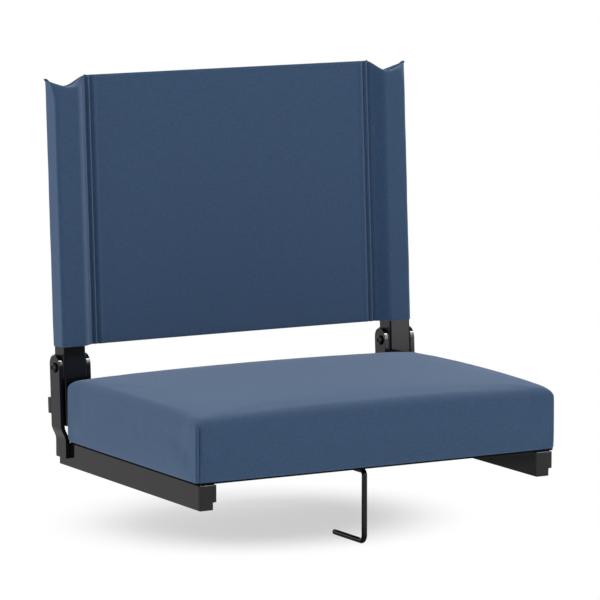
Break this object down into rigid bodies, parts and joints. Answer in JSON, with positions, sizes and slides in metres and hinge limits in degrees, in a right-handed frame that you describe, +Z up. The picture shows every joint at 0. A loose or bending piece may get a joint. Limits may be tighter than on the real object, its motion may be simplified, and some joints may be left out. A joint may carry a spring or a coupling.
{
  "type": "stadium chair",
  "caption": "Folding stadium seat with padded cushion on steel rails, fabric sling back on hinged uprights, and a swinging bench hook.",
  "frame": {"origin": "middle of the underside of the chair's box: the level of the hook's foot, half way across and half way front to back", "axes": "+Z up, -Y to the front, where the sitter's knees are, +X across the seat"},
  "size_m": [0.4566, 0.3486, 0.4863],
  "materials": {
    "frame_black": "satin",
    "plug_black": "matte",
    "nylon_black": "satin",
    "bolt_black": "satin",
    "zinc": "satin",
    "seat_cloth": "matte",
    "back_cloth": "matte",
    "lining": "matte",
    "plywood": "matte",
    "foam": "matte"
  },
  "bodies": {
    "seat_base": {"clip_rivet_1": "zinc", "clip_rivet_2": "zinc", "clip_rivet_3": "zinc", "clip_rivet_4": "zinc", "dust_cover": "lining", "front_strap": "frame_black", "hinge_plate_left_inner": "frame_black", "hinge_plate_left_outer": "frame_black", "hinge_plate_right_inner": "frame_black", "hinge_plate_right_outer": "frame_black", "hinge_spacer_left_inner": "nylon_black", "hinge_spacer_left_outer": "nylon_black", "hinge_spacer_right_inner": "nylon_black", "hinge_spacer_right_outer": "nylon_black", "hook_clip_front": "zinc", "hook_clip_rear": "zinc", "left_rail": "frame_black", "pivot_bolt_left": "bolt_black", "pivot_bolt_right": "bolt_black", "pivot_nut_left": "bolt_black", "pivot_nut_right": "bolt_black", "rail_plug_front_left": "plug_black", "rail_plug_front_right": "plug_black", "rail_plug_rear_left": "plug_black", "rail_plug_rear_right": "plug_black", "rear_strap": "frame_black", "right_rail": "frame_black", "seat_board": "plywood", "seat_cover": "seat_cloth", "seat_foam": "foam", "seat_screw_1": "zinc", "seat_screw_2": "zinc", "seat_screw_3": "zinc", "seat_screw_4": "zinc"},
    "backrest": {"back_sling": "back_cloth", "left_upright": "frame_black", "pivot_bush_left": "nylon_black", "pivot_bush_right": "nylon_black", "right_upright": "frame_black", "stop_bar": "frame_black", "stop_screw_1": "bolt_black", "stop_screw_2": "bolt_black", "stop_screw_3": "bolt_black", "stop_screw_4": "bolt_black", "upright_plug_bottom_left": "plug_black", "upright_plug_bottom_right": "plug_black", "upright_plug_top_left": "plug_black", "upright_plug_top_right": "plug_black"},
    "bench_hook": {"bench_hook": "frame_black", "hook_collar_front": "nylon_black", "hook_collar_rear": "nylon_black"}
  },
  "joints": [
    {"name": "back_fold", "type": "hinge", "parent": "seat_base", "child": "backrest", "pos_m": [0, 0.14444, 0.1689], "axis": [1, 0, 0], "range_deg": [0, 86]},
    {"name": "hook_swing", "type": "hinge", "parent": "seat_base", "child": "bench_hook", "pos_m": [0, -0.14226, 0.0796], "axis": [0, 1, 0], "range_deg": [-90, 90]}
  ]
}
